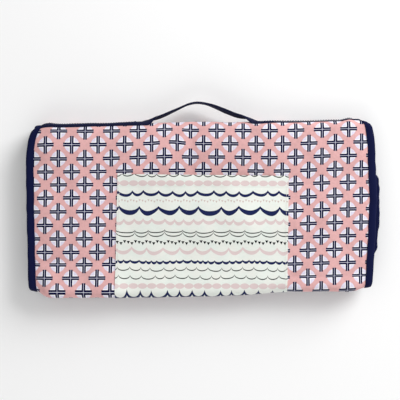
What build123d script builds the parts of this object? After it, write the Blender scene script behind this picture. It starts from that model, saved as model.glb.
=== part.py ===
from build123d import *
import os

# A quilted changing pad, folded in three for carrying. Millimetres.
# It lies on its back: +Z is the side with the pocket, +Y is the side with the handle,
# and the origin is the middle of the face that it rests on.
#
# The pad is one long quilted mat: a printed cover outside, a wadding core, and a plain
# lining inside, with one binding tape round its whole edge. It has five stretches:
#   inner flap - bottom fold - front panel - top fold - back flap
# They are modelled open and flat, at the height of the front panel, and each stretch is
# then turned about its fold hinges. The cover faces +Z while the pad is open.

# ---- driving dimensions ----
pad_width = 406.0
folded_depth = 202.0
panel_thickness = 8.0
front_gap = 1.0            # between the front panel and the inner flap
back_gap = 3.0             # between the inner flap and the back flap, for the fasteners
back_flap_length = 194.0
inner_flap_length = 103.0

cover_thickness = 0.8
lining_thickness = 0.6
corner_radius = 25.0
bound_thickness = 3.2      # the mat pressed together inside the binding
flange_width = 9.5
slope_width = 12.0
binding_thickness = 1.0
binding_width = 9.0

hinge_inset = 2.75         # depth of every fold hinge under the cover
fold_clearance = 0.15

pocket_width = 200.0
pocket_depth = 133.0
pocket_bottom_gap = 4.6    # between the pocket's bottom seam and the bottom fold
pocket_tilt = -2.3         # degrees: it is sewn on slightly askew
pocket_rise = 6.0
pocket_thickness = 0.8
pocket_seam = 4.0

tape_width = 13.0
tape_thickness = 2.2
run_outer_end = 181.0      # distance of the strap's two ends from the middle
strap_height = 17.5        # of the tape's middle: it lies nearer the pocket side
run_rise_left = -68.0      # where the strap starts to leave the pad, either side
run_rise_right = 62.0
loop_foot_left = -46.5
loop_foot_right = 43.0
loop_foot_height = 5.8
loop_gap = 0.3
# The loop's middle line between its feet: places across the pad, and heights over the fold.
loop_crown = [(-34.0, 11.0), (-22.0, 16.3), (-11.0, 20.4), (-2.0, 21.4)]
loop_crown += [(7.0, 20.1), (18.5, 16.1), (31.0, 10.8)]

patch_width = 50.0
patch_depth = 20.0
patch_thickness = 1.4
patch_spacing = 220.0
patch_inset = 24.0         # from the back flap's free edge to the middle of a patch

# ---- derived sizes ----
stack_height = 3 * panel_thickness + front_gap + back_gap
inner_face = stack_height - panel_thickness
middle_height = stack_height - panel_thickness / 2
hinge_y = folded_depth / 2 - hinge_inset
hinge_z = stack_height - hinge_inset
top_fold_length = stack_height - 2 * hinge_inset
bottom_fold_length = 2 * panel_thickness + front_gap - 2 * hinge_inset

back_hinge_y = hinge_y + top_fold_length
inner_hinge_y = -hinge_y - bottom_fold_length
back_end = back_hinge_y + back_flap_length
inner_end = inner_hinge_y - inner_flap_length

crest_y = folded_depth / 2
far = 1000.0


def padded_section(low, high):
    """Points across the mat: full in the middle, pressed thin along both bound edges."""
    thin = bound_thickness / 2
    full = panel_thickness / 2
    pressed = flange_width
    padded = flange_width + slope_width
    steps = [(low, thin), (low + pressed, thin), (low + padded, full)]
    steps += [(high - padded, full), (high - pressed, thin), (high, thin)]
    upper = [(place, middle_height + half) for place, half in steps]
    lower = [(place, middle_height - half) for place, half in reversed(steps)]
    return upper + lower


def prism(plane, points, reach=far):
    """The outline's points on the plane, as a solid that runs far out both ways."""
    face = plane * make_face(Polyline(*points, close=True))
    return extrude(face, reach, both=True)


def outline(inset, half_height):
    """The open mat's rounded outline, inset all round, as a flat block."""
    width = pad_width - 2 * inset
    length = back_end - inner_end - 2 * inset
    shape = RectangleRounded(width, length, corner_radius - inset)
    placed = Pos(0, (back_end + inner_end) / 2, middle_height) * shape
    return extrude(placed, half_height, both=True)


def open_mat():
    """Cover, core, lining and binding of the whole mat, open and flat."""
    across = prism(Plane.XZ, padded_section(-pad_width / 2, pad_width / 2))
    along = prism(Plane.YZ, padded_section(inner_end, back_end))
    filled = across & along & outline(binding_thickness, panel_thickness)
    below_cover = Pos(0, 0, -cover_thickness) * filled
    above_lining = Pos(0, 0, lining_thickness) * filled
    tape = outline(0, bound_thickness / 2 + binding_thickness)
    tape -= outline(binding_width, panel_thickness)
    return {
        "cover": filled - below_cover,
        "core": below_cover & above_lining,
        "lining": filled - above_lining,
        "binding": tape - filled,
    }


def stretch(low, high, low_is_fold, high_is_fold):
    """The room of one stretch of the mat, mitred on its inner side at each fold."""
    above = stack_height + 2
    below = inner_face - 0.2
    drop = hinge_z - below
    points = []
    if low_is_fold:
        edge = low + fold_clearance
        points += [(edge + drop, below), (edge, hinge_z), (edge, above)]
    else:
        points += [(low - 1, below), (low - 1, above)]
    if high_is_fold:
        edge = high - fold_clearance
        points += [(edge, above), (edge, hinge_z), (edge - drop, below)]
    else:
        points += [(high + 1, above), (high + 1, below)]
    return prism(Plane.YZ, points, pad_width)


def turned(shape, axis_y, degrees):
    """The shape turned about the hinge line that runs along X at axis_y."""
    return shape.rotate(Axis((0, axis_y, hinge_z), (1, 0, 0)), degrees)


def folded(shape, place):
    """A flat shape of the named stretch, turned to where it lies in the folded pad."""
    if place == "back_flap":
        shape = turned(shape, back_hinge_y, -90)
    if place in ("back_flap", "top_fold"):
        shape = turned(shape, hinge_y, -90)
    if place == "inner_flap":
        shape = turned(shape, inner_hinge_y, 90)
    if place in ("inner_flap", "bottom_fold"):
        shape = turned(shape, -hinge_y, 90)
    return shape


def mat_nodes():
    """Each stretch's layers, and its binding as one or two tapes."""
    rooms = {
        "front": stretch(-hinge_y, hinge_y, True, True),
        "top_fold": stretch(hinge_y, back_hinge_y, True, True),
        "back_flap": stretch(back_hinge_y, back_end, True, False),
        "bottom_fold": stretch(inner_hinge_y, -hinge_y, True, True),
        "inner_flap": stretch(inner_end, inner_hinge_y, False, True),
    }
    nodes = {}
    for layer, sheet in open_mat().items():
        for place, room in rooms.items():
            piece = folded(sheet & room, place)
            tapes = piece.solids().sort_by(Axis.X)
            if layer == "binding" and len(tapes) == 2:
                nodes[place + "_binding_left"] = tapes[0]
                nodes[place + "_binding_right"] = tapes[1]
            else:
                nodes[place + "_" + layer] = piece
    return nodes


def arch(width, rise, base):
    """A low arch over a flat base line, in the XZ plane."""
    crown = ThreePointArc((-width / 2, base), (0, base + rise), (width / 2, base))
    return Plane.XZ * make_face(crown + Line((width / 2, base), (-width / 2, base)))


def pocket_panel():
    """A patch pocket: flat seams at its sides, a closed bottom, and an open mouth."""
    bottom = -hinge_y + pocket_bottom_gap
    free_width = pocket_width - 2 * pocket_seam
    base = stack_height
    outer = extrude(arch(free_width, pocket_rise + pocket_thickness, base), -pocket_depth)
    inner_width = free_width - 2 * pocket_thickness
    inner = extrude(arch(inner_width, pocket_rise, base), -pocket_depth)
    seams = Pos(0, pocket_depth / 2, base + pocket_thickness / 2)
    seams *= Box(pocket_width, pocket_depth, pocket_thickness)
    shell = (outer + seams) - Pos(0, pocket_seam, 0) * inner
    centred = Rot(0, 0, pocket_tilt) * Pos(0, -pocket_depth / 2, 0) * shell
    return Pos(0, bottom + pocket_depth / 2, 0) * centred


def strap_run(points):
    """One sewn end of the strap, from its outline in the XY plane."""
    face = make_face(Polyline(*points, close=True))
    return Pos(0, 0, strap_height) * extrude(face, tape_width / 2, both=True)


def strap_runs():
    """The two ends that are sewn along the top fold, each rising to meet the loop."""
    low = crest_y
    top = crest_y + tape_thickness
    lift = loop_foot_height - tape_thickness / 2
    sides = {
        "strap_end_left": (-run_outer_end, run_rise_left, loop_foot_left - loop_gap),
        "strap_end_right": (run_outer_end, run_rise_right, loop_foot_right + loop_gap),
    }
    nodes = {}
    for name, (outer, rise, foot) in sides.items():
        points = [(outer, low), (rise, low), (foot, low + lift)]
        points += [(foot, top + lift), (rise, top), (outer, top)]
        nodes[name] = strap_run(points)
    return nodes


def handle_loop():
    """The free loop of the strap, which the hand goes through."""
    spare = 4.0
    route = [(loop_foot_left - spare, loop_foot_height - spare / 2)]
    route += [(loop_foot_left, loop_foot_height)]
    route += loop_crown
    route += [(loop_foot_right, loop_foot_height)]
    route += [(loop_foot_right + spare, loop_foot_height - spare / 2)]
    line = Spline(*[(x, crest_y + height) for x, height in route])
    band = extrude(trace(line, tape_thickness), tape_width / 2, both=True)
    span = loop_foot_right - loop_foot_left
    middle = (loop_foot_right + loop_foot_left) / 2
    between_feet = Pos(middle, crest_y, 0) * Box(span, folded_depth, folded_depth)
    return Pos(0, 0, strap_height) * band & between_feet


def patches(centre_y, centre_z):
    """A pair of hook-and-loop patches, side by side across the pad."""
    patch = Box(patch_width, patch_depth, patch_thickness)
    places = [Pos(side * patch_spacing / 2, centre_y, centre_z) for side in (-1, 1)]
    return Compound(children=[place * patch for place in places])


def fasteners():
    """Hooks on the back flap's lining, loops on the inner flap's cover."""
    row = hinge_y - back_flap_length + patch_inset
    hook_height = panel_thickness + patch_thickness / 2
    loop_height = panel_thickness + back_gap - patch_thickness / 2
    return {"hook_patches": patches(row, hook_height), "loop_patches": patches(row, loop_height)}


def main():
    nodes = mat_nodes()
    nodes["pocket_panel"] = pocket_panel()
    nodes.update(strap_runs())
    nodes["handle_strap"] = handle_loop()
    nodes.update(fasteners())
    os.makedirs("parts", exist_ok=True)
    for name, shape in nodes.items():
        export_step(shape, "parts/" + name + ".step")


main()
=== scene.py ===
"""The looks of a quilted changing pad, folded in three, around its CAD frame.

The pad is one flat mat of cloth. A point of it is given by x (across), s (along, measured on
the cover from the middle of the front panel) and a depth under the cover, and place() says
where that point lies in the folded pad. The cover, the lining, the binding, the pocket, the
strap's ends and every stitch are laid out flat in x and s, and folded by that one function.
"""

import math

import bpy
import numpy as np
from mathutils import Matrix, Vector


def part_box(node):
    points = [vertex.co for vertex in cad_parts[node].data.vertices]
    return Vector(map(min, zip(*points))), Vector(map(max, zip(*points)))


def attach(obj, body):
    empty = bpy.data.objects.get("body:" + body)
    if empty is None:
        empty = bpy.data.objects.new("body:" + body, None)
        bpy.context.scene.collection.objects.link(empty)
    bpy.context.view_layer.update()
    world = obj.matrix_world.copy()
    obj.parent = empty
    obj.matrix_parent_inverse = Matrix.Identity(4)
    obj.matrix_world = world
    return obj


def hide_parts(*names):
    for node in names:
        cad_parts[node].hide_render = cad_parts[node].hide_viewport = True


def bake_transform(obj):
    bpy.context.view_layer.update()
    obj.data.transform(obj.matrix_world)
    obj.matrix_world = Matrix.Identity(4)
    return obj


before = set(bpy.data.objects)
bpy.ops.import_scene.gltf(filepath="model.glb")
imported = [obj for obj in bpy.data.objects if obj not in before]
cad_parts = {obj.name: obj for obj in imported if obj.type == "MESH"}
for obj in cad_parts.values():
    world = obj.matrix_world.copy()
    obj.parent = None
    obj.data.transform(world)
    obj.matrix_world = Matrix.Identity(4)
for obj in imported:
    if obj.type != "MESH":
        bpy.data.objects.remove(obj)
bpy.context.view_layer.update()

# ---- sizes, from the frame ----
MM = 0.001
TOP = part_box("front_cover")[1].z
CREST_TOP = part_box("top_fold_cover")[1].y
CREST_BOTTOM = -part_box("bottom_fold_cover")[0].y
INNER_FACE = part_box("inner_flap_cover")[0].z
HALF_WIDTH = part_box("front_binding_right")[1].x
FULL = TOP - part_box("front_lining")[0].z
BACK_END = -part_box("back_flap_binding")[0].y
INNER_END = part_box("inner_flap_binding")[1].y
PATCH_Y = (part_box("hook_patches")[0].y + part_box("hook_patches")[1].y) / 2

# ---- sizes of the soft shapes ----
FOLD_RADIUS = 8.5 * MM
CORNER_RADIUS = 25 * MM
# The mat's thickness inside its binding, the width of that flat flange, and how far past it the
# padding reaches its full thickness.
THIN = 3.2 * MM
FLANGE = 7 * MM
CROWN = 26 * MM
COVER_CLOTH = 0.8 * MM
LINING_CLOTH = 0.6 * MM
# How far a fold may fall short before the lining inside it does too.
SLACK = 3.2 * MM
BINDING_WIDTH = 9.0 * MM
BINDING_CLOTH = 1.0 * MM
# How far inside the mat's edge the cover and the lining stop, hidden by the binding.
EDGE_HIDDEN = 2.0 * MM
# The spacing of mesh rows on the flat and round the folds.
COARSE = 2.6 * MM
FINE = 0.9 * MM

# Places along the mat: where the flat front ends, where each fold has turned over, the middle of
# each fold and the mat's two free ends.
QUARTER = FOLD_RADIUS * math.pi / 2
FLAT = CREST_TOP - FOLD_RADIUS
TOP_SIDE = TOP - 2 * FOLD_RADIUS
BOTTOM_SIDE = max(TOP - INNER_FACE - 2 * FOLD_RADIUS, 0)
TOP_TURN = FLAT + 2 * QUARTER + TOP_SIDE
BOTTOM_TURN = FLAT + 2 * QUARTER + BOTTOM_SIDE
S_HIGH = TOP_TURN + FLAT + BACK_END
S_LOW = -(BOTTOM_TURN + FLAT + INNER_END)
TOP_CREST = (FLAT + TOP_TURN) / 2
BOTTOM_CREST = -(FLAT + BOTTOM_TURN) / 2

# How the bound edge is drawn in towards a fold: an amount at the fold itself, how far that
# reaches, and an amount that grows evenly over the whole front panel.
DRAWN_IN = {
    ("left", "top"): (11.2 * MM, 14 * MM, 0.0),
    ("left", "bottom"): (1.0 * MM, 10 * MM, 0.0),
    ("right", "top"): (5.5 * MM, 9 * MM, 1.8 * MM),
    ("right", "bottom"): (0.5 * MM, 10 * MM, 8.5 * MM),
}
# How far each fold falls short of its full depth: places across the pad, and amounts, all in
# millimetres.
FALLS_SHORT = {
    "top": [(-203, -1.5), (-185, -2.4), (-172, -1.0), (-150, -0.9), (-118, 0.2), (-60, -0.1),
            (26, 0.0), (55, 0.8), (72, 2.8), (101, 3.6), (147, 3.6), (165, 3.6), (176, 1.4),
            (183, 1.4), (192, 0.6), (203, 3.4)],
    "bottom": [(-203, 9.8), (-191, 7.6), (-186, 4.9), (-180, 3.0), (-170, 2.1), (-116, 1.5),
               (-75, 0.8), (-40, 0.6), (25, -0.5), (40, 0.0), (95, 2.8), (140, 2.8),
               (159, 1.6), (172, 0.8), (185, 2.6), (203, 4.4)],
}
# The two tucks that the quilting takes in the cover: the side, how far below the middle of the
# front panel, how far out it is full, and how steeply the cover rises past it.
TUCKS = [(-1, 57.5 * MM, 110 * MM, 0.13), (1, 80.5 * MM, 105 * MM, 0.16)]
TUCK_STARTS = 80 * MM
# The cover's creases: where each starts and ends in metres, how deep it is and how wide.
CREASES = [
    ((-0.215, -0.056), (-0.09, -0.0585), 1.3 * MM, 2.4 * MM),
    ((0.09, -0.079), (0.165, -0.083), 1.0 * MM, 2.2 * MM),
    ((-0.009, 0.10), (-0.0105, 0.035), 0.5 * MM, 1.8 * MM),
]
# Where the cover's print is pulled aside by the quilting: a place, a shift and two reaches, all
# in millimetres.
PULLS = [
    (-34, 82, -0.1, 2.2, 16, 20),
    (85, 20, -0.3, -1.9, 55, 160),
    (-165, 90, -0.2, 0.9, 22, 16),
    (-60, 70, 1.0, 0.5, 20, 30),
    (-130, -60, 0.0, -1.0, 75, 42),
    (-110, -100, 0.0, -1.0, 60, 14),
    (130, -100, 0.0, -2.0, 80, 15),
    (-140, 60, 0.0, -1.0, 60, 13),
    (-160, 20, 0.0, 0.7, 40, 10),
]


# ---- small tools for arrays ----
def smooth(value, low, high):
    """0 at low, 1 at high, with a soft start and stop."""
    t = np.clip((value - low) / (high - low), 0, 1)
    return t * t * (3 - 2 * t)


def waves(across, along, size, seed):
    """A soft seeded unevenness from -1 to 1, with humps about as large as size."""
    table = np.random.default_rng(seed).uniform(-1, 1, (64, 64))
    a = np.asarray(across) / size + 17.3
    b = np.asarray(along) / size + 41.7
    column, row = np.floor(a).astype(int), np.floor(b).astype(int)
    fa, fb = smooth(a - column, 0, 1), smooth(b - row, 0, 1)
    low, high = (table[column % 64, r % 64] * (1 - fa) + table[(column + 1) % 64, r % 64] * fa
                 for r in (row, row + 1))
    return low * (1 - fb) + high * fb


# ---- the folded mat ----
def walk(distance, legs):
    """Place and heading after a distance along legs, each a length and a turn in degrees."""
    y, z, heading = (np.zeros_like(distance) for _ in range(3))
    corner_y, corner_z, angle, begin = 0.0, 0.0, 0.0, 0.0
    for length, turn in legs:
        on = distance >= begin
        run = np.append(distance[on] - begin, length)
        bend = math.radians(turn) / max(length, 1e-9)
        if turn:
            now = angle - bend * run
            step_y = (math.sin(angle) - np.sin(now)) / bend
            step_z = (np.cos(now) - math.cos(angle)) / bend
        else:
            now = np.full_like(run, angle)
            step_y, step_z = run * math.cos(angle), run * math.sin(angle)
        y[on], z[on], heading[on] = corner_y + step_y[:-1], corner_z + step_z[:-1], now[:-1]
        corner_y, corner_z, angle = corner_y + step_y[-1], corner_z + step_z[-1], now[-1]
        begin += length
    return y, z, heading


def fold_path(s):
    """Where the cover runs at s, seen from the side: y, z and its outward direction."""
    found = []
    for side in (TOP_SIDE, BOTTOM_SIDE):
        legs = [(FLAT, 0), (QUARTER, 90), (side, 0), (QUARTER, 90), (1.0, 0)]
        found.append(walk(np.abs(s), legs))
    up = s >= 0
    y, z, heading = (np.where(up, a, b) for a, b in zip(*found))
    way = np.where(up, 1.0, -1.0)
    return way * y, TOP + z, -way * np.sin(heading), np.cos(heading)


def drawn_in(x, s):
    """How far a point moves towards the middle of the pad, as its bound edge is drawn in."""
    past_middle, unevenness = 8 * MM, 0.35 * MM
    total = np.zeros_like(x * s)
    for (side, fold), (amount, reach, taper) in DRAWN_IN.items():
        here = x < 0 if side == "left" else x >= 0
        crest, half = (TOP_CREST, TOP_SIDE / 2) if fold == "top" else (BOTTOM_CREST, 0)
        away = np.abs(s - crest)
        near = np.exp(-np.maximum(away - half - 0.5 * QUARTER, 0) / reach)
        along = np.clip(1 - away / (abs(crest) + past_middle), 0, 1)
        total += np.where(here, amount * near + taper * along, 0)
    total += unevenness * waves(s, np.sign(x) * 0.3, 9 * MM, 5)
    return total * smooth(np.abs(x), HALF_WIDTH - 45 * MM, HALF_WIDTH - 2 * MM)


def slipped(x, s):
    """How far the back flap's right edge slips out past the front panel's, behind it.

    It slips out most just above its middle, less below it and not at all near the top fold, and
    it is tucked in near the bottom fold."""
    most, less_below, tucked_in = 6.6 * MM, 3.8 * MM, 4.5 * MM
    y = TOP_TURN + FLAT - s
    amount = most - less_below * (1 - smooth(y, -46 * MM, -4 * MM))
    amount = amount * smooth(y, -58 * MM, -50 * MM) * (1 - smooth(y, 30 * MM, 43 * MM))
    amount = amount - tucked_in * (1 - smooth(y, -66 * MM, -54 * MM))
    crinkle = 1 + 0.12 * waves(s, 0.1, 5 * MM, 8)
    behind = (s > TOP_TURN) * smooth(x, HALF_WIDTH - 60 * MM, HALF_WIDTH)
    return amount * crinkle * behind


def falls_short(x, s):
    """How much sooner the mat turns over at a fold than the fold's full depth."""
    fades_past_fold = 70 * MM
    total = np.zeros_like(x * s)
    for fold, places in FALLS_SHORT.items():
        across, amount = np.array(places).T * MM
        here = s > 0 if fold == "top" else s <= 0
        total = np.where(here, np.interp(x, across, amount), total)
    past = np.where(s > 0, s - TOP_CREST, BOTTOM_CREST - s)
    return total * (1 - smooth(past, 0, fades_past_fold)) * smooth(np.abs(s), 10 * MM, 60 * MM)


def place(x, s, depth, slack=0.0):
    """The folded place of a point of the mat, as an array of x, y, z.

    Away from the bound sides, slack is how far a fold may fall short before this layer does."""
    x, s, depth = np.broadcast_arrays(*(np.asarray(v, float) for v in (x, s, depth)))
    way = np.where(s >= 0, 1.0, -1.0)
    short = falls_short(x, s)
    give = slack * (1 - smooth(np.abs(x), HALF_WIDTH - 23 * MM, HALF_WIDTH - 7 * MM))
    short = short - np.clip(short, -give, give)
    y, z, out_y, out_z = fold_path(s + way * short)
    across = x - np.sign(x) * drawn_in(x, s) + slipped(x, s)
    return np.stack([across, y - way * short - out_y * depth, z - out_z * depth], axis=-1)


def width_at(s):
    """Half the mat's width at s, less where its free corners are rounded."""
    end = np.minimum(S_HIGH - s, s - S_LOW)
    short = np.clip(CORNER_RADIUS - end, 0, CORNER_RADIUS)
    return HALF_WIDTH - CORNER_RADIUS + np.sqrt(CORNER_RADIUS**2 - short**2)


def edge_distance(x, s):
    """How far inside the mat's rounded outline a point is."""
    side = HALF_WIDTH - np.abs(x)
    end = np.minimum(S_HIGH - s, s - S_LOW)
    near = (side < CORNER_RADIUS) & (end < CORNER_RADIUS)
    round_part = CORNER_RADIUS - np.hypot(CORNER_RADIUS - side, CORNER_RADIUS - end)
    return np.where(near, round_part, np.minimum(side, end))


def half_thickness(x, s):
    """Half the mat's thickness: pressed thin inside the binding, and crowned within."""
    inside = np.clip((edge_distance(x, s) - FLANGE) / CROWN, 0, 1)
    return THIN / 2 + (FULL - THIN) / 2 * np.sin(inside * math.pi / 2)


def quilting(x, s, seed):
    """How far the padding pushes the cloth out, with puckers along the binding."""
    broad, narrow, puckers = 0.9 * MM, 0.45 * MM, 0.38 * MM
    inside = edge_distance(x, s)
    free = smooth(inside, 8 * MM, 40 * MM)
    soft = broad * waves(x, s, 46 * MM, seed) + narrow * waves(x, s, 17 * MM, seed + 1)
    past_binding = np.maximum(inside - BINDING_WIDTH, 0)
    beside = np.exp(-past_binding / (10 * MM)) * smooth(inside, 4 * MM, BINDING_WIDTH)
    pucker = puckers * waves(s + 0.4 * x, np.sign(x) * 0.5, 5.5 * MM, seed + 2)
    return soft * free + pucker * beside


def crease(x, s, start, end, depth, width):
    """A soft groove along a line from start to end, fading out at both ends."""
    (xa, sa), (xb, sb) = start, end
    length = math.hypot(xb - xa, sb - sa)
    along = ((x - xa) * (xb - xa) + (s - sa) * (sb - sa)) / length
    off = ((x - xa) * (sb - sa) - (s - sa) * (xb - xa)) / length
    fade = smooth(along, 0, 0.2 * length) * (1 - smooth(along, 0.8 * length, length))
    return depth * fade * np.exp(-((off / width) ** 2))


def below_tuck(x, s):
    """1 where the cover lies below one of the two tucks that the quilting takes in it."""
    soft = 1.2 * MM
    return sum(smooth(-(s + at), -soft, soft) * smooth(side * x, TUCK_STARTS, full)
               for side, at, full, _ in TUCKS)


def valley(x, s):
    """A dent that runs down from the top fold to the pocket, steeper on its right."""
    deepest, centre, rounding = 3.2 * MM, -10 * MM, 1.5 * MM
    off = x - centre
    slope = np.where(off < 0, 36 * MM, 20 * MM)
    along = smooth(s, 28 * MM, 52 * MM) * (1 - smooth(s, FLAT + 4 * MM, FLAT + QUARTER))
    return deepest * along * np.exp(-(np.hypot(off, rounding) - rounding) / slope)


def swell(x, s):
    """The slow rise and fall of the front panel, and its rise past the two tucks."""
    wave_height, wave_length, wave_shift = 1.1 * MM, 90 * MM, 15 * MM
    long_wave = wave_height * np.cos((s + wave_shift) * 2 * math.pi / wave_length)
    long_wave = long_wave * (1 - smooth(np.abs(s), FLAT - 14 * MM, FLAT))
    rise = sum(np.maximum(-at - s, 0) * steep * smooth(side * x, TUCK_STARTS, full)
               for side, at, full, steep in TUCKS)
    rise = rise * (1 - smooth(-s, FLAT - 2 * MM, FLAT + 0.9 * QUARTER))
    return (long_wave + rise) * smooth(edge_distance(x, s), FLANGE, 24 * MM)


def cover_depth(x, s):
    """Depth of the cover's outer side: a little proud where the padding pushes it.

    Past the top fold it rests on the floor, so there it is flattened and nowhere proud."""
    grooves = sum(crease(x, s, *line) for line in CREASES) + valley(x, s)
    proud = quilting(x, s, 11) + swell(x, s)
    resting = smooth(s, TOP_TURN - QUARTER, TOP_TURN)
    flattened = np.minimum(0.3 * proud, 0)
    proud = proud * (1 - resting) + resting * flattened - 0.05 * MM * resting
    return FULL / 2 - half_thickness(x, s) - proud + grooves


def cover_uv(x, s, placed):
    """The print's own places: cut through where the edge is drawn in, and pulled in places."""
    taken_up = 1.2 * MM
    u, v = placed[..., 0] + 0 * s, s - taken_up * below_tuck(x, s)
    for at_x, at_s, shift_x, shift_s, reach_x, reach_s in np.array(PULLS) * MM:
        near = np.exp(-(((x - at_x) / reach_x) ** 2) - ((s - at_s) / reach_s) ** 2)
        u, v = u - shift_x * near, v - shift_s * near
    return np.stack([u, v], -1)


def lining_depth(x, s):
    """Depth of the lining's outer side, which the baby lies on."""
    return FULL / 2 + half_thickness(x, s) + 0.5 * quilting(x, s, 23)


# ---- meshes ----
def rows_between(low, high):
    """Places along s, close together round the folds."""
    bends = [-BOTTOM_TURN, -FLAT, FLAT, TOP_TURN]
    marks = [low] + [b for b in bends if low < b < high] + [high]
    rows = [low]
    for a, b in zip(marks, marks[1:]):
        middle = abs((a + b) / 2)
        bend = FLAT < middle < (TOP_TURN if a > 0 else BOTTOM_TURN)
        count = max(2, math.ceil((b - a) / (FINE if bend else COARSE)))
        rows += list(np.linspace(a, b, count + 1)[1:])
    return np.array(rows)


def skin(outer, inner, uv):
    """Points, faces and UVs of a closed thin skin between two grids of points."""
    rows, columns = outer.shape[:2]
    index = np.arange(rows * columns).reshape(rows, columns)
    quads = np.stack([index[:-1, :-1], index[:-1, 1:], index[1:, 1:], index[1:, :-1]], -1)
    front = quads.reshape(-1, 4)
    back = front[:, ::-1] + rows * columns
    rim = np.concatenate([index[0, :], index[1:, -1], index[-1, -2::-1], index[-2:0:-1, 0]])
    following = np.roll(rim, -1)
    sides = np.stack([following, rim, rim + rows * columns, following + rows * columns], -1)
    points = np.concatenate([outer.reshape(-1, 3), inner.reshape(-1, 3)])
    return points, np.concatenate([front, back, sides]), np.tile(uv.reshape(-1, 2), (2, 1))


def mesh_object(name, points, faces, uv):
    """A smooth-shaded object from arrays, with a UV for each point."""
    mesh = bpy.data.meshes.new(name)
    mesh.from_pydata([tuple(p) for p in points], [], [tuple(f) for f in faces])
    layer = mesh.uv_layers.new(name="cloth")
    corners = np.zeros(len(mesh.loops), int)
    mesh.loops.foreach_get("vertex_index", corners)
    layer.data.foreach_set("uv", np.asarray(uv, np.float32)[corners].ravel())
    mesh.shade_smooth()
    mesh.set_sharp_from_angle(angle=math.radians(50))
    mesh.validate()
    obj = bpy.data.objects.new(name, mesh)
    bpy.context.scene.collection.objects.link(obj)
    return obj


def sheet_piece(name, low, high, outer_depth, cloth, slack=0.0):
    """One stretch of the cover or the lining, from s low to s high, as a closed skin.

    Its thickness is cloth, and is negative for the lining, whose outer side is the deeper one."""
    s = rows_between(low, high)[:, None]
    share = np.linspace(-1, 1, 2 * round(HALF_WIDTH / COARSE) + 1)[None, :]
    x = share * (width_at(s) - EDGE_HIDDEN)
    s = s + 0 * x
    depth = outer_depth(x, s)
    points = [place(x, s, depth, slack), place(x, s, depth + cloth, slack)]
    uv = cover_uv(x, s, points[0])
    way = -1 if cloth < 0 else 1
    return mesh_object(name, *skin(*(grid[:, ::way] for grid in (*points, uv))))


def side_line(low, high, side):
    """Points along one side of the mat, with their inward direction."""
    s = rows_between(low, high)
    x = np.full_like(s, side * HALF_WIDTH)
    inward = np.stack([np.full_like(s, -side), np.zeros_like(s)], -1)
    return np.stack([x, s], -1), inward


def end_line(low, high):
    """Points round one free end of the mat, from side to side, with their inward direction."""
    upper = high >= S_HIGH
    end, way = (S_HIGH, 1) if upper else (S_LOW, -1)
    centre = end - way * CORNER_RADIUS
    straight = rows_between(low, centre) if upper else rows_between(centre, high)[::-1]
    run = np.linspace(-1, 1, 2 * round(HALF_WIDTH / COARSE) + 1)[1:-1]
    run = run * (HALF_WIDTH - CORNER_RADIUS)
    left = [((-HALF_WIDTH, s), (1, 0)) for s in straight]
    for a in np.linspace(0, math.pi / 2, 16)[1:]:
        c, n = math.cos(a), way * math.sin(a)
        corner = (CORNER_RADIUS - HALF_WIDTH - CORNER_RADIUS * c, centre + CORNER_RADIUS * n)
        left.append((corner, (c, -n)))
    right = [((-x, s), (-a, b)) for (x, s), (a, b) in reversed(left)]
    whole = left + [((x, end), (0, -way)) for x in run] + right
    return np.array(whole, float).swapaxes(0, 1)


# Numbers of points in the outline below: those that the thread runs over, on the cover's side and
# the lining's, and those where the tape is wavy.
SEAM_POINTS = (3, 15)
WAVY_POINTS = (5, 6, 13, 14)


def binding_section(x, s, inward, width):
    """The folded tape's closed outline at one place: distances from the edge, and depths.

    The outer side goes from the edge sewn to the cover, over its sewn dent and round the mat's
    edge. The under side is the same, mirrored, and the four inner points close it inside."""
    rest = FULL / 2
    surface = rest - half_thickness(x + inward[0] * width, s + inward[1] * width)
    bow = THIN / 2 + BINDING_CLOTH
    leg = [(width, surface + 0.3 * MM), (width + 0.1 * MM, surface - 0.5 * MM)]
    leg += [(width - 0.5 * MM, surface - BINDING_CLOTH)]
    leg += [(width - 1.6 * MM, surface - 0.75 * MM), (width - 2.6 * MM, surface - 1.05 * MM)]
    leg += [(width * 0.45, rest - bow - 0.25 * MM), (1.8 * MM, rest - bow)]
    leg += [(0.7 * MM, rest - 0.78 * bow), (0.12 * MM, rest - 0.42 * bow), (0.0, rest)]
    under = [(d, 2 * rest - depth) for d, depth in reversed(leg[:-1])]
    inner = [(width - 1 * MM, rest + 1.0 * MM), (1.2 * MM, rest + 0.8 * MM)]
    inner += [(1.2 * MM, rest - 0.8 * MM), (width - 1 * MM, rest - 1.0 * MM)]
    return leg + under + inner


def tube(loops, uv):
    """Points, faces and UVs of a closed tube through loops of points, with flat ends."""
    count, around = loops.shape[:2]
    index = np.arange(count * around).reshape(count, around)
    following = np.roll(index, -1, axis=1)
    quads = np.stack([index[:-1], following[:-1], following[1:], index[1:]], -1).reshape(-1, 4)
    faces = [*quads, index[0][::-1], index[-1]]
    return loops.reshape(-1, 3), faces, uv.reshape(-1, 2)


def capsule(start, end, radius):
    """A short thread between two points of x, s and depth: six sides and rounded ends."""
    start, end = np.array(start), np.array(end)
    along = end - start
    side = np.array([-along[1], along[0], 0.0]) / np.hypot(along[0], along[1])
    up = np.array([0.0, 0.0, 1.0])
    turns = [k * math.pi / 3 for k in range(6)]
    rings = [(0.0, 0.35), (0.18, 1.0), (0.82, 1.0), (1.0, 0.35)]
    return np.array([
        [start + along * share + radius * size * (math.cos(t) * side + math.sin(t) * up)
         for t in turns] for share, size in rings])


def distances(line):
    """How far along a line of points each of them is."""
    steps = np.linalg.norm(np.diff(line, axis=0), axis=1)
    return np.concatenate([[0], np.cumsum(steps)])


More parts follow.
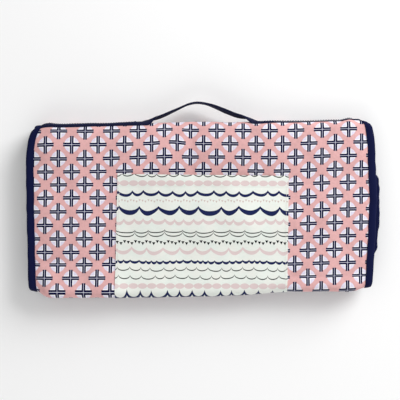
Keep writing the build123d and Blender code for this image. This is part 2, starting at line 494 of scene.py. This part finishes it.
def merged(parts):
    """One set of points, faces and UVs from several."""
    points, faces, uvs, begin = [], [], [], 0
    for vertices, polygons, uv in parts:
        faces += [tuple(i + begin for i in f) for f in polygons]
        begin += len(vertices)
        points.append(vertices)
        uvs.append(uv)
    return np.concatenate(points), faces, np.concatenate(uvs)


def stitch_row(line, pitch, length, radius):
    """Points, faces and UVs of a thread along x, s, depth points: a stitch in every pitch."""
    line = np.array(line)
    distance = distances(line)
    parts = []
    for at in np.arange(pitch / 2, distance[-1] - pitch / 2, pitch):
        ends = [[np.interp(at + way * length / 2, distance, line[:, k]) for k in range(3)]
                for way in (-1, 1)]
        loops = capsule(*ends, radius)
        parts.append(tube(place(*np.moveaxis(loops, -1, 0)), loops[..., :2]))
    return merged(parts)


def tape_loop(x, s, way, run):
    """The tape's outline at one place on the mat's edge: x, s, depth points, and places round it.

    The tape's width and its back are a little uneven along the run."""
    width = BINDING_WIDTH + 0.35 * MM * float(waves(run, x, 14 * MM, 31))
    ripple = 0.18 * MM * float(waves(run, s, 4.5 * MM, 32))
    loop, around = [], []
    for number, (d, depth) in enumerate(binding_section(x, s, way, width)):
        out = 1 if depth < FULL / 2 else -1
        proud = ripple * out if number in WAVY_POINTS else 0
        loop.append((x + way[0] * d, s + way[1] * d, depth - proud))
        around.append(out * d)
    return np.array(loop), around


def binding_piece(name, low, high, side=None):
    """One stretch of the binding tape, folded over the edge and stitched on both sides."""
    line, inward = side_line(low, high, side) if side else end_line(low, high)
    loops, uvs, seams = [], [], ([], [])
    for (x, s), way, run in zip(line, inward, distances(line)):
        loop, around = tape_loop(x, s, way, run)
        loops.append(place(*loop.T))
        uvs.append(np.stack([around, np.full(len(around), run + low)], -1))
        for seam, number, lift in zip(seams, SEAM_POINTS, (-0.1 * MM, 0.1 * MM)):
            seam.append(loop[number] + (0, 0, lift))
    parts = [tube(np.array(loops), np.array(uvs))]
    parts += [stitch_row(seam, 3.2 * MM, 2.3 * MM, 0.26 * MM) for seam in seams]
    return mesh_object(name, *merged(parts))


# ---- materials: a small language for patterns made of nodes ----
class Field:
    """A number that varies over a surface, as the output of a chain of Math nodes."""

    def __init__(self, tree, source):
        self.tree = tree
        self.source = source

    def feed(self, socket, value):
        """Gives a node's socket a Field or a plain number."""
        if isinstance(value, Field):
            self.tree.links.new(value.source, socket)
        else:
            socket.default_value = value

    def math(self, operation, *others):
        """A Math node on this and the other Fields or plain numbers."""
        node = self.tree.nodes.new("ShaderNodeMath")
        node.operation = operation
        for socket, value in zip(node.inputs, (self, *others)):
            self.feed(socket, value)
        return Field(self.tree, node.outputs[0])

    def __add__(self, other):
        return self.math("ADD", other)

    def __sub__(self, other):
        return self.math("SUBTRACT", other)

    def __mul__(self, other):
        return self.math("MULTIPLY", other)

    def __truediv__(self, other):
        return self.math("DIVIDE", other)

    def below(self, edge, soft=0.12 * MM):
        """1 where this is less than edge, and 0 past it."""
        node = self.tree.nodes.new("ShaderNodeMapRange")
        node.interpolation_type = "SMOOTHSTEP"
        self.feed(node.inputs["Value"], self)
        self.feed(node.inputs["From Min"], edge - soft)
        self.feed(node.inputs["From Max"], edge + soft)
        self.feed(node.inputs["To Min"], 1)
        self.feed(node.inputs["To Max"], 0)
        return Field(self.tree, node.outputs[0])

    def above(self, edge, soft=0.12 * MM):
        return (self * -1).below(edge * -1, soft)

    def abs(self):
        return self.math("ABSOLUTE")

    def fraction(self):
        return self.math("FRACT")

    def sine(self, period):
        """A wave from -1 to 1 that repeats in every period."""
        return (self * (2 * math.pi / period)).math("SINE")


def srgb(red, green, blue):
    """A colour from 0 to 255 a channel, as the linear values that a shader takes."""
    found = []
    for part in (red, green, blue):
        value = part / 255
        found.append(value / 12.92 if value <= 0.04045 else ((value + 0.055) / 1.055) ** 2.4)
    return (*found, 1.0)


class Cloth:
    """A material being made: its node tree, and the cloth's own places as Fields."""

    def __init__(self, name, sheen=0.06):
        self.material = bpy.data.materials.new(name)
        self.material.use_nodes = True
        self.tree = self.material.node_tree
        self.shader = self.tree.nodes["Principled BSDF"]
        settings = {"Roughness": 0.85, "Sheen Weight": sheen, "Sheen Roughness": 0.5,
                    "Specular IOR Level": 0.12}
        for socket, value in settings.items():
            self.shader.inputs[socket].default_value = value
        uv = self.tree.nodes.new("ShaderNodeUVMap")
        uv.uv_map = "cloth"
        split = self.tree.nodes.new("ShaderNodeSeparateXYZ")
        self.tree.links.new(uv.outputs[0], split.inputs[0])
        self.u = Field(self.tree, split.outputs[0])
        self.v = Field(self.tree, split.outputs[1])
        self.place = uv.outputs[0]

    def colour(self, red, green, blue):
        """One even colour, from 0 to 255 a channel."""
        node = self.tree.nodes.new("ShaderNodeRGB")
        node.outputs[0].default_value = srgb(red, green, blue)
        return node.outputs[0]

    def mix(self, under, over, share):
        """The over colour on the under colour, where share is 1."""
        node = self.tree.nodes.new("ShaderNodeMix")
        node.data_type = "RGBA"
        self.tree.links.new(share.source, node.inputs["Factor"])
        self.tree.links.new(under, node.inputs["A"])
        self.tree.links.new(over, node.inputs["B"])
        return node.outputs["Result"]

    def noise(self, size):
        """Soft unevenness from 0 to 1, with patches about as large as size."""
        node = self.tree.nodes.new("ShaderNodeTexNoise")
        node.inputs["Scale"].default_value = 1 / size
        node.inputs["Detail"].default_value = 2.0
        self.tree.links.new(self.place, node.inputs["Vector"])
        return Field(self.tree, node.outputs[0])

    def mottled(self, colour, amount):
        """The colour, a little darker and lighter in patches, as washed cloth is."""
        node = self.tree.nodes.new("ShaderNodeHueSaturation")
        broad = (self.noise(28 * MM) - 0.5) * amount
        fine = (self.noise(3 * MM) - 0.5) * (amount * 0.7)
        value = broad + fine + 1.0
        self.tree.links.new(value.source, node.inputs["Value"])
        self.tree.links.new(colour, node.inputs["Color"])
        return node.outputs[0]

    def weave(self, pitch, twill=0.0):
        """The height of crossing threads: plain cloth, or twill's slanted ribs."""
        slant = self.u + self.v * twill
        over = slant.sine(2 * pitch)
        under = self.v.sine(2 * pitch)
        return (over * under + 1.0) * 0.5

    def finish(self, colour, height, strength=0.5):
        """The finished material, with its colour and the height of its threads."""
        bump = self.tree.nodes.new("ShaderNodeBump")
        bump.inputs["Strength"].default_value = strength
        bump.inputs["Distance"].default_value = 0.15 * MM
        self.tree.links.new(height.source, bump.inputs["Height"])
        self.tree.links.new(bump.outputs[0], self.shader.inputs["Normal"])
        self.tree.links.new(colour, self.shader.inputs["Base Color"])
        return self.material


def askew(cloth, u0, v0, rows, columns):
    """The cloth's places counted from a point, with rows and columns a little off square."""
    u, v = cloth.u - u0, cloth.v - v0
    return u + v * math.tan(math.radians(columns)), v - u * math.tan(math.radians(rows))


def cover_print():
    """Pink cloth with a lattice of light spots, each with a navy double-lined cross."""
    cloth = Cloth("cover_print")
    half_pitch_u, half_pitch_v = 15.2 * MM, 15.42 * MM
    spot_radius, strip_half = 8.45 * MM, 2.9 * MM
    arm, line_at, line_half = 9.8 * MM, 1.16 * MM, 0.98 * MM
    u, v = askew(cloth, -102.2 * MM, 92.4 * MM, rows=-0.77, columns=-1.82)
    p, q = u / half_pitch_u, v / half_pitch_v
    a = (((p + q) * 0.5) + 0.5).fraction() - 0.5
    b = (((p - q) * 0.5) + 0.5).fraction() - 0.5
    du = ((a + b) * half_pitch_u).abs()
    dv = ((a - b) * half_pitch_v).abs()
    spot = (du * du + dv * dv).math("SQRT").below(spot_radius, 0.25 * MM)
    strip = du.math("MINIMUM", dv).below(strip_half, 0.3 * MM)
    upright = du.below(line_at) * dv.below(arm)
    level = dv.below(line_at) * du.below(arm)
    inside = upright.math("MAXIMUM", level)
    middle = line_at - line_half
    lines_u = (du - line_at).abs().below(line_half) * dv.above(middle) * dv.below(arm)
    lines_v = (dv - line_at).abs().below(line_half) * du.above(middle) * du.below(arm)
    lines = lines_u.math("MAXIMUM", lines_v)
    pink = cloth.mottled(cloth.colour(220, 171, 170), 0.4)
    colour = cloth.mix(pink, cloth.colour(219, 214, 232), spot)
    colour = cloth.mix(colour, cloth.colour(254, 253, 255), spot * strip)
    colour = cloth.mix(colour, cloth.colour(232, 234, 248), inside)
    colour = cloth.mix(colour, cloth.colour(3, 3, 54), lines)
    height = cloth.weave(0.42 * MM) + cloth.noise(5 * MM) * 1.5
    return cloth.finish(colour, height)


def scallops(u, down, roundness, cusp, drop, period, thin, thick, shift):
    """1 on a line of hanging scallops, cusps up, thicker at the bottom of each."""
    uneven = 1.3 * MM
    wander = (u + shift).sine(53 * MM) * uneven + (u + shift * 3).sine(31 * MM) * (uneven * 0.6)
    phase = ((u + shift + wander) / period).fraction()
    centred = phase * 2.0 - 1.0
    hang = (centred * centred * -1.0 + 1.0).math("MAXIMUM", 0.0)
    curve = hang.math("POWER", roundness) * drop + cusp
    height = (u + shift * 2).sine(71 * MM) * 0.5 * MM
    half = hang * ((thick - thin) / 2) + thin / 2
    return (down - curve - height).abs().below(half, 0.14 * MM)


def beads(u, down, middle, period, height):
    """1 on a chain of oval beads, joined by a thread."""
    centred = ((u / period).fraction() * 2.0 - 1.0).abs()
    oval = (centred * centred * -1.0 + 1.0).math("MAXIMUM", 0.0).math("POWER", 0.6)
    half = oval * (height / 2 - 0.4 * MM) + 0.3 * MM
    return (down - middle).abs().below(half, 0.2 * MM)


def marks(u, down, middle, period, size, wave):
    """1 on a wandering row of small marks, wide above and pointed below."""
    cell = (u / period).math("FLOOR")
    lift = (cell * 2.1).math("SINE") * wave
    centred = (((u / period).fraction() - 0.5) * period).abs()
    below_top = down - middle - lift + size / 2
    slope = 0.55
    taper = below_top * -slope + size * slope
    return centred.below(taper, 0.12 * MM) * below_top.above(0.0, 0.12 * MM)


def pocket_print():
    """Pale cloth with level rows of scallops, beads and small marks."""
    cloth = Cloth("pocket_print")
    u, down = cloth.u, cloth.v * -1.0
    base = cloth.mottled(cloth.colour(228, 234, 227), 0.07)
    warm = cloth.noise(16 * MM).above(0.5, 0.15) * 0.5
    colour = cloth.mix(base, cloth.colour(236, 234, 227), warm)
    pink = cloth.colour(219, 200, 199)
    peach = cloth.colour(206, 188, 182)
    navy = cloth.colour(22, 32, 78)
    ink = cloth.colour(38, 42, 42)
    black = cloth.colour(5, 6, 16)
    # Scallops are rounded, or nearly level between sharp points.
    rounded, level = 0.78, 0.42
    # Paint, roundness, how far down the points are, how deep it hangs, its pitch and its thickness
    # at the points and between them, all in millimetres, and how far along it starts in metres.
    rows = [
        (ink, rounded, -1.1, 3.1, 13.2, 1.1, 1.2, 0.0),
        (navy, rounded, 19.4, 4.2, 15.6, 3.3, 3.3, 0.1295),
        (navy, rounded, 37.2, 6.8, 23.26, 3.4, 5.6, 0.074),
        (pink, rounded, 51.8, 4.0, 11.63, 3.5, 3.9, 0.022),
        (ink, level, 63.3, 3.4, 18.45, 1.1, 1.2, 0.1175),
        (ink, level, 64.7, 6.4, 18.45, 1.1, 1.2, 0.1175),
        (pink, rounded, 84.5, 5.8, 18.59, 3.2, 4.2, 0.176),
        (navy, rounded, 99.2, 2.2, 7.5, 2.2, 3.0, 0.0),
        (ink, level, 106.0, 4.6, 13.16, 1.1, 1.2, 0.1775),
        (ink, level, 115.0, 4.8, 13.23, 1.1, 1.2, 0.1495),
        (navy, rounded, 135.2, 9.5, 15.2, 6.0, 6.0, 0.0728),
    ]
    layers = [(paint, scallops(u, down, roundness, *(size * MM for size in sizes), shift))
              for paint, roundness, *sizes, shift in rows]
    layers += [
        (pink, beads(u, down, 9.6 * MM, 10.7 * MM, 6.6 * MM)),
        (pink, beads(u, down, 128.1 * MM, 10.7 * MM, 6.6 * MM)),
        (peach, marks(u, down, 30.2 * MM, 3.4 * MM, 2.4 * MM, 0.9 * MM)),
        (black, marks(u, down, 78.2 * MM, 4.2 * MM, 3.5 * MM, 1.3 * MM)),
    ]
    for paint, share in layers:
        colour = cloth.mix(colour, paint, share)
    height = cloth.weave(0.36 * MM) + cloth.noise(6 * MM) * 1.5
    return cloth.finish(colour, height)


def plain_cloth(name, colour, pitch, twill=0.0, mottle=0.08, strength=0.5, sheen=0.06):
    """Cloth of one colour, with its weave and the unevenness of dyed yarn."""
    cloth = Cloth(name, sheen=sheen)
    paint = cloth.mottled(cloth.colour(*colour), mottle)
    height = cloth.weave(pitch, twill) + cloth.noise(7 * MM) * 1.2
    return cloth.finish(paint, height, strength)


# ---- the pieces of the mat ----
# Where each bend starts and ends. The lining of the narrow bottom fold bends in one short
# crease inside it.
TOP_BEND = 6 * MM
BOTTOM_BEND = 4 * MM
TOP_BLEND = ((0, CREST_TOP - TOP_BEND, TOP), (0, CREST_TOP, TOP - TOP_BEND))
BACK_BLEND = ((0, CREST_TOP, TOP_BEND), (0, CREST_TOP - TOP_BEND, 0))
BOTTOM_BLEND = (
    (0, -CREST_BOTTOM + BOTTOM_BEND, TOP),
    (0, -CREST_BOTTOM, TOP - BOTTOM_BEND),
)
INNER_BLEND = (
    (0, -CREST_BOTTOM, INNER_FACE + BOTTOM_BEND),
    (0, -CREST_BOTTOM + BOTTOM_BEND, INNER_FACE),
)
FOLD_MIDDLE = (TOP + INNER_FACE) / 2
LINING_CREASE = -CREST_BOTTOM + FULL
CREASE_SPAN = 1.0 * MM
BOTTOM_LINING_BLEND = (
    (0, LINING_CREASE + CREASE_SPAN, FOLD_MIDDLE + CREASE_SPAN / 2),
    (0, LINING_CREASE, FOLD_MIDDLE),
)
INNER_LINING_BLEND = (
    (0, LINING_CREASE, FOLD_MIDDLE),
    (0, LINING_CREASE + CREASE_SPAN, FOLD_MIDDLE - CREASE_SPAN / 2),
)
# The mat's stretches: name, where along the mat, the two bodies, the CAD nodes that it stands for,
# and where its cover and its lining bend.
STRETCHES = [
    ("front_upper", 0.0, TOP_CREST, ("front_panel", "top_fold"), ("front_{}", "top_fold_{}"),
     TOP_BLEND, TOP_BLEND),
    ("front_lower", BOTTOM_CREST, 0.0, ("front_panel", "bottom_fold"), ("bottom_fold_{}",),
     BOTTOM_BLEND, BOTTOM_LINING_BLEND),
    ("back_flap", TOP_CREST, S_HIGH, ("top_fold", "back_flap"), ("back_flap_{}",),
     BACK_BLEND, BACK_BLEND),
    ("inner_flap", S_LOW, BOTTOM_CREST, ("bottom_fold", "inner_flap"), ("inner_flap_{}",),
     INNER_BLEND, INNER_LINING_BLEND),
]


def finish_piece(piece, material, nodes):
    """Gives a piece its material, hides the CAD parts that it stands for, and bakes its transform.
    """
    piece.data.materials.append(material)
    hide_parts(*nodes)
    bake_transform(piece)
    return piece


def mat():
    """The cover, the lining and the binding, each in four stretches that bend at the folds."""
    print_material = cover_print()
    lining_material = plain_cloth("lining", (232, 236, 230), 0.4 * MM, mottle=0.04)
    tape_material = plain_cloth("binding", (8, 15, 56), 0.5 * MM, mottle=0.25, strength=0.6,
                                sheen=0.02)
    for name, low, high, bodies, nodes, span, lining_span in STRETCHES:
        begin = low + EDGE_HIDDEN if low == S_LOW else low
        stop = high - EDGE_HIDDEN if high == S_HIGH else high
        cover = sheet_piece("cover_" + name, begin, stop, cover_depth, COVER_CLOTH)
        both = [n.format(layer) for n in nodes for layer in ("cover", "core")]
        finish_piece(cover, print_material, both)
        lining = sheet_piece("lining_" + name, begin, stop, lining_depth, -LINING_CLOTH, SLACK)
        linings = [n.format("lining") for n in nodes]
        finish_piece(lining, lining_material, linings)
        stop - begin
        sides = {"_left": -1, "_right": 1} if name.startswith("front") else {"": None}
        for side, way in sides.items():
            tape = binding_piece(f"binding_{name}{side}", low, high, way)
            tapes = [n.format("binding" + side) for n in nodes]
            finish_piece(tape, tape_material, tapes)


# ---- the pocket ----
# The ends of its mouth and of its lower edge, left and right.
POCKET_TOP = ((-96.5 * MM, 42.6 * MM), (101.0 * MM, 35.9 * MM))
POCKET_BOTTOM = ((-103.0 * MM, -103.5 * MM), (95.8 * MM, -103.5 * MM))
POCKET_CLOTH = 0.8 * MM
POCKET_TURN = math.radians(-1.5)
POCKET_GAPE = 4.2 * MM
HEM_SHARE = 0.91


def pocket_point(p, q):
    """The flat place of a point of the pocket: p from 0 to 1 across, q from 0 to 1 up."""
    found = []
    for k in (0, 1):
        low = POCKET_BOTTOM[0][k] * (1 - p) + POCKET_BOTTOM[1][k] * p
        high = POCKET_TOP[0][k] * (1 - p) + POCKET_TOP[1][k] * p
        found.append(low * (1 - q) + high * q)
    return found


def pocket_lift(p, q):
    """How far the pocket stands off the cover: sewn down at its sides, open at its mouth."""
    clear, ripples = 0.15 * MM, 0.35 * MM
    inside = np.clip(4 * p * (1 - p), 0, 1)
    stands = POCKET_GAPE * smooth(inside, 0.06, 1.0) * smooth(q, 0.15, 1.0)
    ripple = ripples * waves(p * 0.2, q * 0.14, 22 * MM, 51) * smooth(inside, 0.05, 0.3)
    return clear + stands + ripple * smooth(q, 0.1, 0.4)


def pocket_uv(x, s):
    """The pocket print's own places: from the middle of its mouth, and turned a little."""
    left, right = POCKET_TOP
    across, along = x - (left[0] + right[0]) / 2, s - (left[1] + right[1]) / 2
    c, n = math.cos(POCKET_TURN), math.sin(POCKET_TURN)
    return np.stack([across * c + along * n, along * c - across * n], -1)


def pocket():
    """A patch pocket on the front, with a turned hem at its mouth and stitched sides."""
    p = np.linspace(0, 1, 90)[None, :]
    q = np.concatenate([np.linspace(0, 0.88, 62), np.linspace(0.885, 1, 14)])[:, None]
    x, s = pocket_point(p, q)
    hem = 0.45 * MM * smooth(q, HEM_SHARE - 0.005, HEM_SHARE + 0.005)
    roll = 0.5 * MM * smooth(q, 0.985, 1.0)
    depth = cover_depth(x, s) - pocket_lift(p, q)
    outer = place(x, s, depth - POCKET_CLOTH - hem + roll)
    inner = place(x, s, depth - 0.05 * MM)
    piece = mesh_object("pocket", *skin(outer, inner, pocket_uv(x, s)))
    finish_piece(piece, pocket_print(),
                 ["pocket_panel"])
    pocket_stitches()


def pocket_stitches():
    """The thread that holds the pocket's sides, and its hem."""
    inset, over_cloth = 0.012, 0.9 * MM
    rows = [[(side, q) for q in np.linspace(0.06, 0.97, 40)] for side in (inset, 1 - inset)]
    rows.append([(p, HEM_SHARE + 0.002) for p in np.linspace(0.02, 0.98, 60)])
    parts = []
    for row in rows:
        line = []
        for p, q in row:
            x, s = pocket_point(p, q)
            lift = float(pocket_lift(np.array(p), np.array(q)))
            line.append((x, s, float(cover_depth(x, s)) - lift - over_cloth))
        parts.append(stitch_row(line, 3.0 * MM, 2.2 * MM, 0.22 * MM))
    piece = mesh_object("pocket_stitches", *merged(parts))
    piece.data.materials.append(plain_cloth("thread", (228, 228, 222), 0.3 * MM, 1.0))
    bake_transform(piece)


# ---- the strap ----
TAPE_HALF = 6.5 * MM
TAPE_THICK = 2.1 * MM
STRAP_END = HALF_WIDTH - 3.5 * MM
STRAP_STEP = 1.6 * MM
STRAP_Z = 18.2 * MM
# The loop's middle line over the top fold: places across the pad and heights off it, in
# millimetres.
LOOP = [(-84, 0.95), (-70, 1.8), (-60, 3.8), (-52, 5.4), (-45, 7.4), (-34, 12.1), (-22, 17.3),
        (-13, 21.3), (-3, 23.0), (8, 21.2), (18, 17.5), (30, 12.0), (41, 7.3), (47, 5.3),
        (53, 4.4), (58, 3.6), (64, 2.2), (74, 0.95)]
# How far in front of the fold's middle the strap is sewn: places across the pad and amounts, in
# millimetres.
SEWN_AHEAD = [(-203, 5.8), (45, 5.8), (66, 7.1), (76, 6.4), (92, 4.9), (112, 4.9), (128, 1.2),
              (203, 1.2)]
# How the loop is twisted: places across the pad in millimetres, and degrees.
TWIST = [(-72, 0), (-64, 4), (-58, -6), (-50, -9), (-38, -7.5), (-30, -4), (-24, 0), (-17, 2),
         (-12, 0.3), (3, -1.5), (10, -3), (16, -9), (29, -17), (44, -15), (50, -11), (60, -4),
         (72, 0)]


def loop_height(x):
    """How high the strap stands off the top fold, smoothly through the loop's places."""
    samples, window = 400, np.hanning(41)
    places = np.array(LOOP) * MM
    fine = np.linspace(places[0, 0], places[-1, 0], samples)
    rough = np.interp(fine, places[:, 0], places[:, 1])
    padded = np.pad(rough, len(window) // 2, mode="edge")
    even = np.convolve(padded, window / window.sum(), mode="valid")
    return np.interp(x, fine, even)


def strap_level(x):
    """Where along the mat the middle of the strap is sewn: nearer the pocket at its left."""
    across, ahead = np.array(SEWN_AHEAD).T * MM
    level = TOP_CREST - np.interp(x, across, ahead)
    return level + 0.5 * MM * waves(x, 0.2, 30 * MM, 61)


def strap_freedom(x, v):
    """0 where the strap is sewn down and 1 where it stands free, later along its front edge."""
    late = np.where(x < 0, 1.5 * MM, 1.1 * MM)
    leaves = 0.6 * MM + late * (1 - v)
    return smooth(loop_height(x), leaves, leaves + 2.6 * MM)


def strap_surface(x, v, free):
    """The strap's under side at x across the pad and v from -1 to 1 over its width."""
    level = strap_level(x) + v * TAPE_HALF
    sewn = place(x, level, cover_depth(x, level) - 0.1 * MM)
    places, degrees = np.array(TWIST).T
    twist = np.radians(np.interp(x / MM, places, degrees))
    loop = np.stack([
        x + 0 * v,
        CREST_TOP + loop_height(x) + v * TAPE_HALF * np.sin(twist),
        STRAP_Z - v * TAPE_HALF * np.cos(twist),
    ], -1)
    share = free[..., None]
    return sewn * (1 - share) + loop * share


def outward(grid):
    """Unit directions square to a grid of points, away from the pad."""
    normal = np.cross(np.gradient(grid, axis=1), np.gradient(grid, axis=0))
    normal /= np.linalg.norm(normal, axis=-1, keepdims=True)
    return -normal if normal[..., 1].mean() < 0 else normal


def strap():
    """One tape: sewn along the top fold at both ends, and free between as the handle."""
    x = np.arange(-STRAP_END, STRAP_END, STRAP_STEP)[:, None]
    v = np.linspace(-1, 1, 15)[None, :]
    free = strap_freedom(x, v)
    under = strap_surface(x, v, free)
    normal = outward(under)
    rounded = np.sqrt(np.clip(1 - np.abs(v) ** 5, 0, 1)) * 0.75 + 0.25
    pressed = 1 - 0.65 * smooth(np.abs(x), HALF_WIDTH - 13 * MM, HALF_WIDTH - 7 * MM)
    thick = TAPE_THICK * rounded * pressed * (0.8 + 0.2 * free)
    below = free * 0.5
    outer = under + normal * (thick * (1 - below))[..., None]
    inner = under - normal * (thick * below)[..., None]
    run = distances(under[:, v.shape[1] // 2])
    uv = np.stack([v * TAPE_HALF + 0 * x, run[:, None] + 0 * v], -1)
    piece = mesh_object("strap", *skin(outer[:, ::-1], inner[:, ::-1], uv[:, ::-1]))
    webbing = plain_cloth("strap", (18, 22, 52), 0.55 * MM, 1.0, mottle=0.3, strength=0.8,
                          sheen=0.02)
    finish_piece(piece, webbing,
                 ["strap_end_left", "strap_end_right", "handle_strap"])
    strap_stitches()


def strap_seam(x, s, pitch, length):
    """A row of stitches on the sewn strap's outer side."""
    depth = cover_depth(x, s) - TAPE_THICK - 0.1 * MM
    return stitch_row(np.stack([x, s, depth], -1), pitch, length, 0.28 * MM)


def strap_stitches():
    """Thread along both edges of the strap's sewn ends, with a bar tack at each loop foot."""
    feet, parts = (-75 * MM, 65 * MM), []
    end = HALF_WIDTH - 20 * MM
    seam_at = 0.72
    for begin, stop in ((-end, feet[0]), (feet[1], end)):
        for side in (-seam_at, seam_at):
            x = np.linspace(begin, stop, 40)
            parts.append(strap_seam(x, strap_level(x) + side * TAPE_HALF, 3.0 * MM, 2.2 * MM))
    for x in feet:
        for shift in (-0.6, 0.0, 0.6):
            across = strap_level(x) + np.linspace(-seam_at, seam_at, 5) * TAPE_HALF
            parts.append(strap_seam(x + shift * MM + 0 * across, across, 1.3 * MM, 1.25 * MM))
    piece = mesh_object("strap_stitches", *merged(parts))
    piece.data.materials.append(plain_cloth("strap_thread", (26, 32, 70), 0.3 * MM, 1.0))
    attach(piece, "top_fold")


# ---- the fasteners ----
PATCH_INSET = 25 * MM
PATCH_HALF = (24.6 * MM, 9.8 * MM)


def patch_pair(name, node, body, s_middle, surface, way, material):
    """Two sewn patches of hook or loop tape, following the cloth that they are sewn to."""
    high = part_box(node)[1]
    parts = []
    a, b = np.meshgrid(np.linspace(-1, 1, 31), np.linspace(-1, 1, 15))
    corner = 1 - 0.04 * np.abs(a) ** 8 * np.abs(b) ** 8
    for side in (-1, 1):
        x = side * (high.x - PATCH_INSET) + a * corner * PATCH_HALF[0]
        s = s_middle + b * corner * PATCH_HALF[1]
        rim = smooth(1 - np.maximum(np.abs(a) ** 6, np.abs(b) ** 4), 0, 0.35)
        pile = 0.9 * MM + 0.4 * MM * rim + 0.06 * MM * waves(x, s, 1.6 * MM, 71)
        base = surface(x, s)
        outer = place(x, s, base + way * pile)
        inner = place(x, s, base - way * 0.3 * MM)
        grids = (outer, inner, np.stack([x, s], -1))
        parts.append(skin(*(grid[:, ::-way] for grid in grids)))
    piece = mesh_object(name, *merged(parts))
    piece.data.materials.append(material)
    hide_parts(node)
    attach(piece, body)


def fasteners():
    """Hook tape inside the back flap, and loop tape on the inner flap's outer side."""
    hooks = plain_cloth("hook_tape", (226, 226, 220), 0.7 * MM, mottle=0.1, strength=1.0)
    loops = plain_cloth("loop_tape", (236, 234, 228), 0.5 * MM, 0.6, mottle=0.2, sheen=0.8)
    back = TOP_TURN + FLAT - PATCH_Y
    inner = -(BOTTOM_TURN + FLAT + PATCH_Y)
    patch_pair("hook_tapes", "hook_patches", "back_flap", back, lining_depth, 1, hooks)
    patch_pair("loop_tapes", "loop_patches", "inner_flap", inner, cover_depth, -1, loops)


# ---- the studio ----
def studio():
    """A pale floor, even light from all round, and two soft lamps."""
    scene = bpy.context.scene
    bpy.ops.mesh.primitive_plane_add(size=30, location=(0, 0, -0.3 * MM))
    floor = bpy.context.object
    floor.name = "floor"
    paper = bpy.data.materials.new("floor")
    paper.use_nodes = True
    shader = paper.node_tree.nodes["Principled BSDF"]
    shader.inputs["Base Color"].default_value = (0.92, 0.92, 0.92, 1)
    shader.inputs["Roughness"].default_value = 0.9
    floor.data.materials.append(paper)
    world = bpy.data.worlds.new("studio")
    world.use_nodes = True
    sky = world.node_tree.nodes["Background"].inputs
    sky[0].default_value = (1, 1, 1, 1)
    sky[1].default_value = 0.52
    scene.world = world
    # Each lamp's place, size and power: a strong one at the upper right and a weak one below.
    lamps = [((1.35, 1.2, 1.0), 1.2, 42.0), ((-0.3, -1.6, 0.8), 1.8, 10.0)]
    for number, (spot, size, power) in enumerate(lamps):
        light = bpy.data.lights.new(f"softbox_{number}", "AREA")
        light.size = size
        light.energy = power
        lamp = bpy.data.objects.new(light.name, light)
        scene.collection.objects.link(lamp)
        lamp.location = spot
        aim = -lamp.location.normalized()
        lamp.rotation_euler = aim.to_track_quat("-Z", "Y").to_euler()
    scene.view_settings.view_transform = "Standard"


def camera():
    """Straight above the pad, turned a little, and framed as the pad's front is seen."""
    view_width = 0.4612
    data = bpy.data.cameras.new("camera")
    data.lens = 85
    data.sensor_width = 36
    distance = view_width / 2 / math.tan(math.atan(data.sensor_width / 2 / data.lens))
    obj = bpy.data.objects.new("camera", data)
    bpy.context.scene.collection.objects.link(obj)
    roll = math.radians(1.35)
    right, up = -2.3 * MM, 10.4 * MM
    across = right * math.cos(roll) + up * math.sin(roll)
    along = up * math.cos(roll) - right * math.sin(roll)
    obj.location = (across, along, TOP + distance)
    obj.rotation_euler = (0, 0, -roll)
    data.clip_end = 50
    bpy.context.scene.camera = obj


mat()
pocket()
strap()
fasteners()
studio()
camera()
